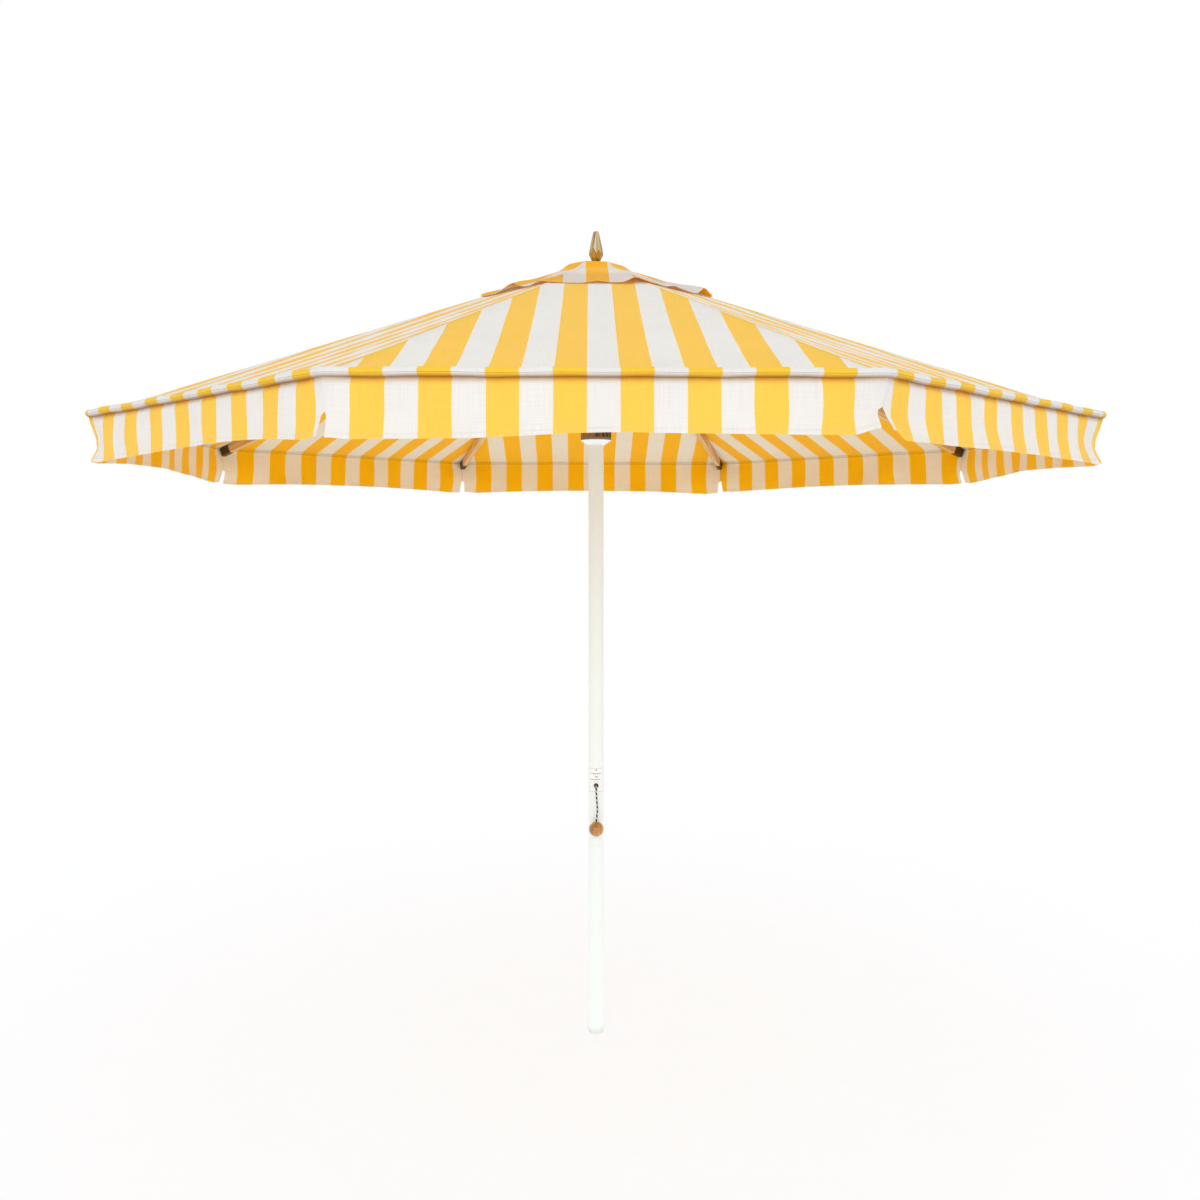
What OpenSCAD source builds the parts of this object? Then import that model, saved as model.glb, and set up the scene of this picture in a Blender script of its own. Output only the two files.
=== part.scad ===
// Eight-sided garden and beach parasol with a two-piece pole, a wooden frame that
// folds like an umbrella's, a striped canopy with a hanging valance, and a vent cap.
// Millimetres. The origin is the centre of the pole's lower end, +Z is up.

/* [Canopy] */
// Pole centre to a corner of the rim
rim_r = 1750; // [1700:10:1800]
// Height at which the ridge lines would meet
apex_z = 2885; // [2860:5:2900]
// Fall of a ridge for each unit outwards
rise = 0.37; // [0.36:0.005:0.38]
// Thickness of the canopy, valance and vent cap
cloth_t = 1.5; // [1:0.1:2]
// Height of the hanging valance
valance_h = 152; // [100:1:180]
// Corner radius of the opening under the vent cap
vent_r = 300; // [200:10:340]
// Corner radius of the vent cap
cap_r = 453; // [420:1:480]
// Corner radius of the vent cap's flat top
cap_top_r = 84; // [80:1:90]

/* [Frame] */
// Width of a rib
rib_w = 22; // [18:1:24]
// Depth of a rib
rib_depth = 36; // [30:1:36]
// Length of a rib from its pivot to the end of its wood
rib_len = 1795; // [1750:5:1800]
// Pivot to pivot length of a strut
strut_len = 767; // [760:1:775]
// Width of a strut
strut_w = 14; // [10:1:14]
// Radius of a strut's rounded ends, and half its depth
eye_r = 8.5; // [7:0.5:8.5]
// Distance of every hub pivot from the pole's centre
pivot_r = 46; // [46:1:48]

/* [Pole] */
// Outer radius of the pole
pole_r = 28.65; // [28:0.05:28.65]
// Wall of the pole tubes
pole_wall = 2.5; // [2:0.1:3]
// Height of the seam between the two pole tubes
seam_z = 700; // [650:10:730]
// Height of the eyelet that the pull cord leaves by
eyelet_z = 928; // [928:1:928]

/* [Hub and runner] */
// Outer radius of the runner
runner_r = 57.5; // [57.5:0.5:60]
// Outer radius of the top hub
hub_r = 58; // [57:0.5:60]
// Radius of the pivot pins
pin_r = 3; // [2.5:0.1:3]

/* [Finial and ball] */
// Height of the finial's tip
tip_z = 3003; // [2990:1:3010]
// Radius of the wooden ball on the pull cord
ball_r = 27.5; // [25:0.5:27.5]
// Radius of the pull cord
cord_r = 3.2; // [2:0.1:3.2]

/* [Hidden] */
$fn = 64;
SIDES = 8;

// Gap between fixed pieces, and radial gap of a hole around a fixed pin
play = 0.05;
// Radius of a bore that turns on a pin
turn_r = pin_r + 0.1;

// The octagon and its slopes
half_side = 180 / SIDES;
apothem = cos(half_side);
ridge_tilt = atan(rise);
gore_rise = rise / apothem;
gore_tilt = atan(gore_rise);
rim_z = apex_z - rise * rim_r;
cloth_gap = 0.5;

// The folding linkage: equal links from the hub's pivot to the clevis and on to the runner
rib_gap = 4.5;
clevis_drop = 30;
hub_z = apex_z - rise * pivot_r - (rib_depth / 2 + rib_gap) / cos(ridge_tilt);
clevis_x = sqrt(pow(strut_len, 2) - pow(clevis_drop, 2));
rest_angle = 90 - ridge_tilt - asin(clevis_drop / strut_len);
runner_z = hub_z - 2 * strut_len * cos(rest_angle);

// Rib fittings
rib_start = 36;
rib_edge = 2;
lug_w = 10;
lug_h = 18;
lug_len = 80;
rivet_x = [50, 70];
rivet_r = 2.5;
ear_t = 2;
plate_t = 2;
screw_x = 17;
screw_r = 1.8;
cap_wall = 0.9;
cap_len = 42;

// Hub, runner and what is above them
core_r = 34;
hub_top = 21;
flange_t = 5;
flange_r = cap_top_r * apothem - 1.5;
bore_top = 8;
runner_low = 28;
ring_t = 9;
cone_h = 18;
bush_r = 31;
bush_bore_r = pole_r + 0.5;
pin_len = 27;
stud_r = 4;
collar_z = hub_z + hub_top + 4;

// Pole
inner_r = pole_r - pole_wall;
foot_h = 10;
seam_edge = 0.5;
sleeve_half = 140;
pole_top_z = hub_z + bore_top;
slot_z = runner_z - runner_low - ring_t - cone_h;
catch_x = 5;
catch_t = 1.2;
label_low = eyelet_z - 24;
label_h = 89;
ball_z = 773;
ball_y = -57.65;

// Route of the pull cord: straight out of the eyelet, over a small bend and down to the ball
cord_route = [
    [0, -18, 928], [0, -23, 928], [0, -28, 928], [0, -33, 928], [0, -37, 927.5],
    [0, -41, 925.5], [0, -44, 922], [0, -45.7, 917], [0, -46.4, 911], [0.5, -47.2, 902],
    [1, -48.6, 890], [2, -50.2, 877], [3, -51.8, 864], [4, -53.4, 851], [4, -55, 838],
    [3, -56.3, 826], [1.5, -57.2, 815], [0.4, -57.6, 805], [0, -57.65, 797], [0, -57.65, 790]
];
cord_sides = 10;
knot_at = [0, -13.8, 928];
line_top = [0, 20.5, slot_z - 37];

// ---- Placing ----

// Turned to rib k's direction
module at_rib(k) {
    rotate([0, 0, half_side * (2 * k - 1)]) children();
}

// Turned to the direction of the gore before rib k
module at_gore(k) {
    rotate([0, 0, half_side * (2 * k - 2)]) children();
}

// On rib k's centreline, with X outwards from its pivot
module on_rib(k) {
    at_rib(k) translate([pivot_r, 0, hub_z]) rotate([0, ridge_tilt, 0]) children();
}

// On strut k's centreline, with X from the runner's pivot to the clevis
module on_strut(k) {
    at_rib(k) translate([pivot_r, 0, runner_z]) rotate([0, rest_angle - 90, 0]) children();
}

// A round bar along Y
module cross_bar(r, width) {
    rotate([90, 0, 0]) cylinder(r = r, h = width, center = true);
}

// A bar along X with corners cut off at 45 degrees
module edged_bar(from, to, width, depth, edge) {
    y = width / 2;
    z = depth / 2;
    translate([from, 0, 0]) rotate([90, 0, 90]) linear_extrude(to - from)
        polygon([
            [-y, -z + edge], [-y + edge, -z], [y - edge, -z], [y, -z + edge],
            [y, z - edge], [y - edge, z], [-y + edge, z], [-y, z - edge]
        ]);
}

// ---- Pole ----

module foot_cap() {
    edge = 3;
    color("gainsboro") rotate_extrude() polygon(concat(
        [[0, 0]],
        [for (a = [-90:15:0]) [pole_r - edge + edge * cos(a), edge + edge * sin(a)]],
        [[pole_r, foot_h - play], [inner_r - play, foot_h - play],
         [inner_r - play, 4 * foot_h], [0, 4 * foot_h]]
    ));
}

// A pole tube with a small chamfer at the seam
module pole_tube(low, high, seam_is_high) {
    low_edge = seam_is_high ? 0 : seam_edge;
    high_edge = seam_is_high ? seam_edge : 0;
    rotate_extrude() polygon([
        [inner_r, low], [pole_r - low_edge, low], [pole_r, low + low_edge],
        [pole_r, high - high_edge], [pole_r - high_edge, high], [inner_r, high]
    ]);
}

module lower_pole() {
    color("white") pole_tube(foot_h, seam_z - play, true);
}

module upper_pole() {
    color("white") difference() {
        pole_tube(seam_z + play, pole_top_z - play, false);
        translate([0, -pole_r, eyelet_z]) cross_bar(6, 20);
        translate([-catch_x - 1, inner_r - 10, slot_z - 50]) cube([2 * catch_x + 2, 20, 51]);
        translate([0, pole_r, slot_z - 112]) cross_bar(2.5, 20);
    }
}

module pole_joint_sleeve() {
    color("silver") translate([0, 0, seam_z - sleeve_half]) difference() {
        cylinder(r = inner_r - play, h = 2 * sleeve_half);
        translate([0, 0, -1]) cylinder(r = inner_r - 2, h = 2 * sleeve_half + 2);
    }
}

module pole_top_plug() {
    color("saddlebrown") translate([0, 0, pole_top_z - 30]) difference() {
        cylinder(r = inner_r - play, h = 30 - play);
        translate([0, 0, -1]) cylinder(r = stud_r, h = 40);
    }
}

module cord_eyelet() {
    flange_y = pole_r + 3;
    color("black") translate([0, 0, eyelet_z]) difference() {
        union() {
            difference() {
                translate([0, -flange_y + 5, 0]) cross_bar(8.5, 10);
                translate([0, 0, -20]) cylinder(r = pole_r + play, h = 40);
            }
            translate([0, -inner_r, 0]) cross_bar(5.9, 8);
        }
        translate([0, -pole_r, 0]) cross_bar(cord_r + 1, 30);
    }
}

module pole_label() {
    color("whitesmoke") translate([0, 0, label_low]) difference() {
        cylinder(r = pole_r + 0.35, h = label_h);
        translate([0, 0, -1]) cylinder(r = pole_r + play, h = label_h + 2);
        translate([-50, -8, -1]) cube([100, 100, label_h + 2]);
        translate([0, -pole_r, eyelet_z - label_low]) cross_bar(9, 20);
    }
}

// Leaf that stands out of the slot under the open runner
module catch_spring() {
    foot_y = inner_r - 0.65;
    nose_y = pole_r + 6;
    color("silver") {
        translate([-catch_x, 0, slot_z]) rotate([90, 0, 90]) linear_extrude(2 * catch_x)
            polygon([
                [foot_y - catch_t, -127], [foot_y, -127], [foot_y, -48], [nose_y, -9],
                [nose_y, -0.7], [inner_r, -0.7], [inner_r, -0.7 - catch_t],
                [nose_y - catch_t, -0.7 - catch_t], [nose_y - catch_t, -9],
                [foot_y - catch_t, -47]
            ]);
        translate([0, (foot_y + pole_r) / 2, slot_z - 112])
            cross_bar(2.4, pole_r - foot_y - 0.6);
    }
}

// ---- Pull ----

// Line inside the pole, from the cord's knot up to the catch
module release_line() {
    run = line_top - knot_at;
    color("black") translate(knot_at) {
        sphere(r = 4);
        rotate([-atan2(run[1], run[2]), 0, 0]) cylinder(r = 1.5, h = norm(run));
    }
}

function unit(v) = v / norm(v);
function heading(route, i) =
    unit(route[min(i + 1, len(route) - 1)] - route[max(i - 1, 0)]);
// A ring of points round route point i, square to the route
function ring(route, i, r, sides) =
    let (along = heading(route, i), u = unit(cross(along, [1, 0, 0])), v = cross(along, u))
    [for (s = [0:sides - 1])
        route[i] + r * (cos(360 * s / sides) * u + sin(360 * s / sides) * v)];

// A round tube of one piece along a route
module swept(route, r, sides) {
    rings = len(route);
    points = [for (i = [0:rings - 1]) each ring(route, i, r, sides)];
    walls = [for (i = [0:rings - 2]) for (s = [0:sides - 1])
        let (t = (s + 1) % sides)
        [i * sides + s, i * sides + t, (i + 1) * sides + t, (i + 1) * sides + s]];
    ends = [
        [for (s = [sides - 1:-1:0]) s],
        [for (s = [0:sides - 1]) (rings - 1) * sides + s]
    ];
    polyhedron(points, concat(walls, ends), convexity = 4);
}

module pull_cord() {
    color("dimgray") swept(cord_route, cord_r, cord_sides);
}

module pull_ball() {
    color("peru") translate([0, ball_y, ball_z]) difference() {
        sphere(r = ball_r);
        translate([0, 0, 790 - ball_z]) cylinder(r = cord_r + 0.5, h = 30);
    }
}

// ---- Top hub, finial and vent cap ----

module top_hub() {
    edge = 3;
    low = -26;
    color("saddlebrown") translate([0, 0, hub_z]) difference() {
        rotate_extrude() polygon([
            [pole_r + play, low], [hub_r - edge, low], [hub_r, low + edge],
            [hub_r, hub_top - flange_t], [flange_r, hub_top - flange_t],
            [flange_r, hub_top], [stud_r + 0.2, hub_top],
            [stud_r + 0.2, bore_top], [pole_r + play, bore_top]
        ]);
        for (k = [1:SIDES]) at_rib(k) {
            translate([core_r, -lug_w / 2 - 0.5, low - 5]) cube([60, lug_w + 1, 17 - low]);
            translate([pivot_r, 0, 0]) cross_bar(pin_r + play, pin_len - 2);
        }
    }
}

module hub_pins() {
    color("silver") for (k = [1:SIDES])
        at_rib(k) translate([pivot_r, 0, hub_z]) cross_bar(pin_r, pin_len - 3);
}

// Eight-sided spear with a flat side to the front
module finial() {
    low = collar_z + play;
    // height and distance of the flats from the axis
    steps = [[low, 10], [low + 12, 10.5], [2919, 25.5], [2942, 26], [tip_z - 3, 10], [tip_z, 8]];
    color("tan") difference() {
        rotate([0, 0, half_side]) rotate_extrude($fn = SIDES) polygon(concat(
            [[0, low]], [for (s = steps) [s[1] / apothem, s[0]]], [[0, tip_z]]
        ));
        translate([0, 0, low - 1]) cylinder(r = stud_r, h = 39, $fn = 24);
    }
}

// Threaded stud from the plug in the pole up into the finial, with its washer
module finial_stud() {
    washer_t = 2;
    color("silver") {
        translate([0, 0, pole_top_z - 26]) cylinder(r = stud_r - play, h = 80);
        translate([0, 0, collar_z - washer_t]) difference() {
            cylinder(r = 18, h = washer_t);
            translate([0, 0, -1]) cylinder(r = stud_r + 0.2, h = washer_t + 2);
        }
    }
}

// Flat piece of a pyramid side that faces +X: its outer face falls from apex height top by
// slope for each unit outwards, from apothem inner to outer, over lateral shares low to high
module slope_piece(top, slope, inner, outer, low, high) {
    tilt = atan(slope);
    lean = tan(half_side);
    a = inner / cos(tilt);
    b = outer / cos(tilt);
    function side(distance, share) = distance * lean * share - sign(share) * cloth_gap;
    translate([0, 0, top]) rotate([0, tilt, 0]) translate([0, 0, -cloth_t])
        linear_extrude(cloth_t) polygon([
            [a, side(inner, low) + (low == 0 ? cloth_gap : 0)],
            [b, side(outer, low) + (low == 0 ? cloth_gap : 0)],
            [b, side(outer, high) - (high == 0 ? cloth_gap : 0)],
            [a, side(inner, high) - (high == 0 ? cloth_gap : 0)]
        ]);
}

module vent_cap() {
    low = apex_z - rise * cap_r + cloth_t + 1;
    high = hub_z + hub_top + cloth_t + 0.3;
    slope = (high - low) / ((cap_r - cap_top_r) * apothem);
    top = high + slope * cap_top_r * apothem;
    color("gold") {
        for (k = [1:SIDES]) at_gore(k)
            slope_piece(top, slope, (cap_top_r + 3) * apothem, cap_r * apothem, -1, 1);
        translate([0, 0, high - cloth_t]) rotate([0, 0, half_side]) difference() {
            cylinder(r = cap_top_r, h = cloth_t, $fn = SIDES);
            translate([0, 0, -1]) cylinder(r = stud_r + 0.5, h = cloth_t + 2);
        }
    }
}

// ---- Runner ----

module runner_body() {
    edge = 3;
    high = 18;
    color("saddlebrown") translate([0, 0, runner_z]) difference() {
        rotate_extrude() polygon([
            [bush_r + play, -runner_low], [runner_r, -runner_low], [runner_r, high - edge],
            [runner_r - edge, high], [bush_r + play, high]
        ]);
        for (k = [1:SIDES]) at_rib(k) {
            translate([core_r, -strut_w / 2 - 0.5, -eye_r - 1.5])
                cube([60, strut_w + 1, 60]);
            translate([pivot_r, 0, 0]) cross_bar(pin_r + play, pin_len + 1);
        }
    }
}

module runner_ring() {
    color("gray") translate([0, 0, runner_z - runner_low - ring_t]) difference() {
        cylinder(r = runner_r, h = ring_t - play);
        translate([0, 0, -1]) cylinder(r = bush_r + play, h = ring_t + 2);
    }
}

// Sliding bush with a shallow cone under the ring
module runner_bush() {
    cone_z = -runner_low - ring_t - play;
    color("white") translate([0, 0, runner_z]) rotate_extrude() polygon([
        [bush_bore_r, cone_z - cone_h], [bush_r + 0.5, cone_z - cone_h],
        [runner_r - 0.5, cone_z - 0.5], [runner_r - 0.5, cone_z], [bush_r, cone_z],
        [bush_r, 16], [bush_bore_r, 16]
    ]);
}

module runner_pins() {
    color("silver") for (k = [1:SIDES])
        at_rib(k) translate([pivot_r, 0, runner_z]) cross_bar(pin_r, pin_len);
}

// ---- Ribs and struts ----

module rib(k) {
    color("burlywood") on_rib(k) difference() {
        edged_bar(rib_start, rib_len, rib_w, rib_depth, rib_edge);
        translate([0, -lug_w / 2 - play, -lug_h / 2 - play])
            cube([lug_len + play, lug_w + 2 * play, lug_h + 2 * play]);
        for (x = rivet_x) translate([x, 0, 0]) cross_bar(rivet_r + play, rib_w + 2);
        for (side = [-1, 1]) translate([clevis_x + side * screw_x, 0, -rib_depth / 2 - 1])
            cylinder(r = screw_r + play, h = 14);
    }
}

// Hinge blade in the rib's mortise
module hinge_lug() {
    difference() {
        union() {
            cross_bar(lug_h / 2, lug_w);
            translate([0, -lug_w / 2, -lug_h / 2]) cube([lug_len, lug_w, lug_h]);
        }
        cross_bar(turn_r, lug_w + 2);
        for (x = rivet_x) translate([x, 0, 0]) cross_bar(rivet_r + play, lug_w + 2);
    }
}

// A pin along Y with a flat head at each end
module headed_pin(r, grip, head_r, head_t) {
    cross_bar(r, grip + head_t);
    for (side = [-1, 1]) translate([0, side * (grip + head_t) / 2, 0]) cross_bar(head_r, head_t);
}

// Bracket under the rib that holds the strut's upper end
module clevis() {
    ear_y = strut_w / 2 + 0.4;
    plate_z = -rib_depth / 2 - play - plate_t;
    translate([clevis_x, 0, 0]) difference() {
        union() {
            translate([-23, -rib_w / 2, plate_z]) cube([46, rib_w, plate_t]);
            for (side = [-1, 1]) translate([0, side * (ear_y + ear_t / 2), 0]) {
                translate([-eye_r, -ear_t / 2, -clevis_drop])
                    cube([2 * eye_r, ear_t, clevis_drop + plate_z + plate_t / 2]);
                translate([0, 0, -clevis_drop]) cross_bar(eye_r, ear_t);
            }
        }
        translate([0, 0, -clevis_drop]) cross_bar(pin_r + play, rib_w + 2);
        for (side = [-1, 1]) translate([side * screw_x, 0, plate_z - 1])
            cylinder(r = screw_r + 0.1, h = plate_t + 2);
    }
}

module clevis_screw() {
    head_z = -rib_depth / 2 - play - plate_t - play;
    translate([0, 0, head_z]) cylinder(r = screw_r, h = 14);
    translate([0, 0, head_z - 0.9]) cylinder(r = 3.5, h = 0.9);
}

// Cup over the rib's outer end
module tip_cap() {
    out = 2 * (cap_wall + play);
    difference() {
        edged_bar(rib_len - cap_len, rib_len + 2, rib_w + out, rib_depth + out, rib_edge);
        edged_bar(rib_len - cap_len - 1, rib_len + play, rib_w + 2 * play,
            rib_depth + 2 * play, rib_edge);
    }
}

module rib_fittings(k) {
    color("dimgray") on_rib(k) {
        hinge_lug();
        for (x = rivet_x) translate([x, 0, 0]) headed_pin(rivet_r, rib_w + 2 * play, 4.5, 1.2);
        clevis();
        translate([clevis_x, 0, -clevis_drop])
            headed_pin(pin_r, strut_w + 0.8 + 2 * (ear_t + play), 5, 1.2);
        for (side = [-1, 1]) translate([clevis_x + side * screw_x, 0, 0]) clevis_screw();
        tip_cap();
    }
}

module strut(k) {
    color("burlywood") on_strut(k) difference() {
        union() {
            translate([0, -strut_w / 2, -eye_r]) cube([strut_len, strut_w, 2 * eye_r]);
            for (x = [0, strut_len]) translate([x, 0, 0]) cross_bar(eye_r, strut_w);
        }
        for (x = [0, strut_len]) translate([x, 0, 0]) cross_bar(turn_r, strut_w + 2);
    }
}

// ---- Cloth ----

// Both half gores that meet on rib k's ridge
module canopy(k) {
    color("gold") {
        at_gore(k) slope_piece(apex_z, gore_rise, vent_r * apothem, rim_r * apothem, 0, 1);
        at_gore(k + 1) slope_piece(apex_z, gore_rise, vent_r * apothem, rim_r * apothem, -1, 0);
    }
}

// Both half panels that hang from the rim beside rib k's corner
module valance(k) {
    top_gap = 4;
    corner_gap = 5;
    half = rim_r * sin(half_side);
    color("gold") for (side = [0, 1]) at_gore(k + side)
        translate([
            rim_r * apothem - cloth_t, side == 0 ? cloth_gap : corner_gap - half,
            rim_z - valance_h
        ]) cube([cloth_t, half - corner_gap - cloth_gap, valance_h - top_gap]);
}

foot_cap();
lower_pole();
upper_pole();
pole_joint_sleeve();
pole_top_plug();
cord_eyelet();
pole_label();
catch_spring();
release_line();
pull_cord();
pull_ball();
top_hub();
hub_pins();
finial();
finial_stud();
vent_cap();
runner_body();
runner_ring();
runner_bush();
runner_pins();
for (k = [1:SIDES]) {
    rib(k);
    rib_fittings(k);
    strut(k);
    canopy(k);
    valance(k);
}
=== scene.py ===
import math

import bpy
import numpy as np
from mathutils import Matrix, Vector


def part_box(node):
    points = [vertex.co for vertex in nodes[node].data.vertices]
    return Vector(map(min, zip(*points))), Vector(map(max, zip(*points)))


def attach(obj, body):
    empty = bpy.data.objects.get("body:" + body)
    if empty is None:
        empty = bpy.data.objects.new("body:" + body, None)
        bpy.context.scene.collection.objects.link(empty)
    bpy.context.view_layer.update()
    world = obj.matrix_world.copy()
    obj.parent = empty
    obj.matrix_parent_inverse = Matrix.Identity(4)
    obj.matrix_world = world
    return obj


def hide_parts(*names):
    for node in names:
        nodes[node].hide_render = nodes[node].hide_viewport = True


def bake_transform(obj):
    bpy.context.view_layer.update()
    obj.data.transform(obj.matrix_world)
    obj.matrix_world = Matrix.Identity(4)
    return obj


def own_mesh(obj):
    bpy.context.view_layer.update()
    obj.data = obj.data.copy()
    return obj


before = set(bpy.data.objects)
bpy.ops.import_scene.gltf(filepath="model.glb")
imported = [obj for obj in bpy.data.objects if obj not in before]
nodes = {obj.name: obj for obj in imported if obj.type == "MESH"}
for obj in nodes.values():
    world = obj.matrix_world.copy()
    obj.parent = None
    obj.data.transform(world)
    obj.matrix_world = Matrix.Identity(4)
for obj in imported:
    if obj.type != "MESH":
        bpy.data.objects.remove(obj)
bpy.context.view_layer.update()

# ---- Sizes, in metres, from the frame ----------------------------------------------------------
GORES = 8
STEP = 2 * math.pi / GORES                 # angle from one rib to the next
HALF = STEP / 2                            # angle from a gore's centre to its ribs
TAN_HALF = math.tan(HALF)
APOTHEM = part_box("canopy_1")[1].x          # pole axis to the middle of a rim side
RIM_RADIUS = APOTHEM / math.cos(HALF)      # pole axis to a rim corner
VENT_RADIUS = 0.300                        # pole axis to a corner of the vent opening
RIDGE_DROP = 0.37                          # fall of a ridge per metre outwards
GORE_DROP = RIDGE_DROP / math.cos(HALF)    # fall of a gore's middle per metre outwards
APEX_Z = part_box("canopy_1")[1].z + RIDGE_DROP * VENT_RADIUS
RIM_Z = APEX_Z - RIDGE_DROP * RIM_RADIUS
VALANCE_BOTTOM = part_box("valance_1")[0].z
CAP_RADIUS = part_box("vent_cap")[1].x / math.cos(HALF)
CAP_TOP_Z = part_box("vent_cap")[1].z
CAP_HEM_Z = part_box("vent_cap")[0].z + 0.0015
CROWN_RADIUS = 0.084                       # corner of the flat crown on top of the cap
CLOTH = 0.0009                             # thickness of the canopy fabric
STRIPE_PERIOD = 0.159                      # one yellow and one white stripe
WELT_R = 0.0115                            # rolled edge round the rim

# How far a gore's stripes lie off its middle, at the vent and at the rim
STRIPE_LAY = {1: (0.048, 0.048), 3: (0.008, 0.008), 5: (-0.035, -0.035), 6: (-0.0075, 0.0058),
              7: (0.045, 0.045)}


def rib_angle(k):
    return HALF + (k - 1) * STEP


# ---- Camera: level, in front of the umbrella, a little below the rim ---------------------------
CAMERA_DISTANCE = 4.34
CAMERA_HEIGHT = 1.856
CAMERA_TURN = math.radians(0.85)
CAMERA_LENS = 34.65                        # mm, on a sensor 36 mm wide
CAMERA_SHIFT = (0.0033, -0.0525)


def make_camera():
    data = bpy.data.cameras.new("camera")
    data.lens = CAMERA_LENS
    data.sensor_width = 36.0
    data.shift_x, data.shift_y = CAMERA_SHIFT
    data.clip_end = 200.0
    camera = bpy.data.objects.new("camera", data)
    bpy.context.scene.collection.objects.link(camera)
    camera.location = (-CAMERA_DISTANCE * math.sin(CAMERA_TURN),
                       -CAMERA_DISTANCE * math.cos(CAMERA_TURN), CAMERA_HEIGHT)
    camera.rotation_euler = (math.radians(90), 0, -CAMERA_TURN)
    bpy.context.scene.camera = camera


make_camera()


# ---- Small helpers for shader nodes ------------------------------------------------------------
def linear(r, g, b):
    """An sRGB colour of 0 to 255 as a linear RGBA value."""
    def one(c):
        c /= 255.0
        return c / 12.92 if c <= 0.04045 else ((c + 0.055) / 1.055) ** 2.4
    return (one(r), one(g), one(b), 1.0)


class Shader:
    """A material's node tree, built up with short calls."""

    def __init__(self, name):
        self.material = bpy.data.materials.new(name)
        self.material.use_nodes = True
        self.tree = self.material.node_tree
        self.tree.nodes.clear()
        self.output = self.tree.nodes.new("ShaderNodeOutputMaterial")

    def node(self, kind, settings=None, **inputs):
        made = self.tree.nodes.new("ShaderNode" + kind)
        for key, value in (settings or {}).items():
            setattr(made, key, value)
        self.fill(made, inputs)
        return made

    def fill(self, node, inputs):
        for key, value in inputs.items():
            self.put(node.inputs[key.replace("_", " ")], value)

    def put(self, socket, value):
        if isinstance(value, bpy.types.NodeSocket):
            self.tree.links.new(value, socket)
        else:
            socket.default_value = value

    def math(self, operation, a, b=0.0, c=0.0, clamp=False):
        made = self.tree.nodes.new("ShaderNodeMath")
        made.operation = operation
        made.use_clamp = clamp
        for socket, value in zip(made.inputs, (a, b, c)):
            self.put(socket, value)
        return made.outputs[0]

    def mix(self, factor, a, b, blend="MIX"):
        made = self.tree.nodes.new("ShaderNodeMix")
        made.data_type = "RGBA"
        made.blend_type = blend
        self.put(made.inputs[0], factor)
        self.put(made.inputs[6], a)
        self.put(made.inputs[7], b)
        return made.outputs[2]

    def ramp(self, factor, *stops):
        made = self.tree.nodes.new("ShaderNodeValToRGB")
        ramp = made.color_ramp
        while len(ramp.elements) < len(stops):
            ramp.elements.new(0.5)
        for element, (place, colour) in zip(ramp.elements, stops):
            element.position = place
            element.color = colour
        self.put(made.inputs[0], factor)
        return made.outputs[0]

    def noise(self, vector, scale, detail=3.0, roughness=0.5, distortion=0.0):
        made = self.node("TexNoise", Vector=vector, Scale=scale, Detail=detail, Roughness=roughness,
                         Distortion=distortion)
        return made.outputs["Fac"]

    def bump(self, height, distance, strength=1.0, normal=None):
        made = self.node("Bump", Height=height, Distance=distance, Strength=strength)
        if normal is not None:
            self.put(made.inputs["Normal"], normal)
        return made.outputs[0]

    def object_space(self, rotation=(0, 0, 0)):
        coords = self.tree.nodes.new("ShaderNodeTexCoord").outputs["Object"]
        return self.node("Mapping", Vector=coords, Rotation=rotation).outputs[0]

    def principled(self, **inputs):
        made = self.tree.nodes.new("ShaderNodeBsdfPrincipled")
        self.fill(made, inputs)
        return made

    def finish(self, shader):
        self.tree.links.new(shader.outputs[0], self.output.inputs["Surface"])
        return self.material


# ---- Fabric ------------------------------------------------------------------------------------
OUTER_YELLOW = linear(253, 213, 70)
OUTER_WHITE = linear(241, 241, 240)
# painted light: the cap's yellow is deeper than the canopy's, standing in for light shining through the cap
CAP_BACKLIT_YELLOW = linear(255, 205, 34)
# painted light: the valance's outside yellow is paler than the canopy's, standing in for the front light's
# sheen
VALANCE_FRONT_LIT_YELLOW = linear(254, 217, 92)        # outside of the valance
# painted light: the canopy's inside colours are deeper and warmer than its outside, standing in for light
# shining through the cloth
INNER_BACKLIT_YELLOW = linear(251, 192, 30)
INNER_BACKLIT_WHITE = linear(240, 228, 204)
# painted light: the inside colours of the valance and the cap are brightened to stand in for light shining
# through the cloth
VALANCE_BACKLIT_YELLOW = linear(255, 203, 6)       # inside of the valance, which the light shines through
VALANCE_BACKLIT_WHITE = linear(248, 232, 204)
SEAM_THREAD = linear(150, 98, 34)


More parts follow.
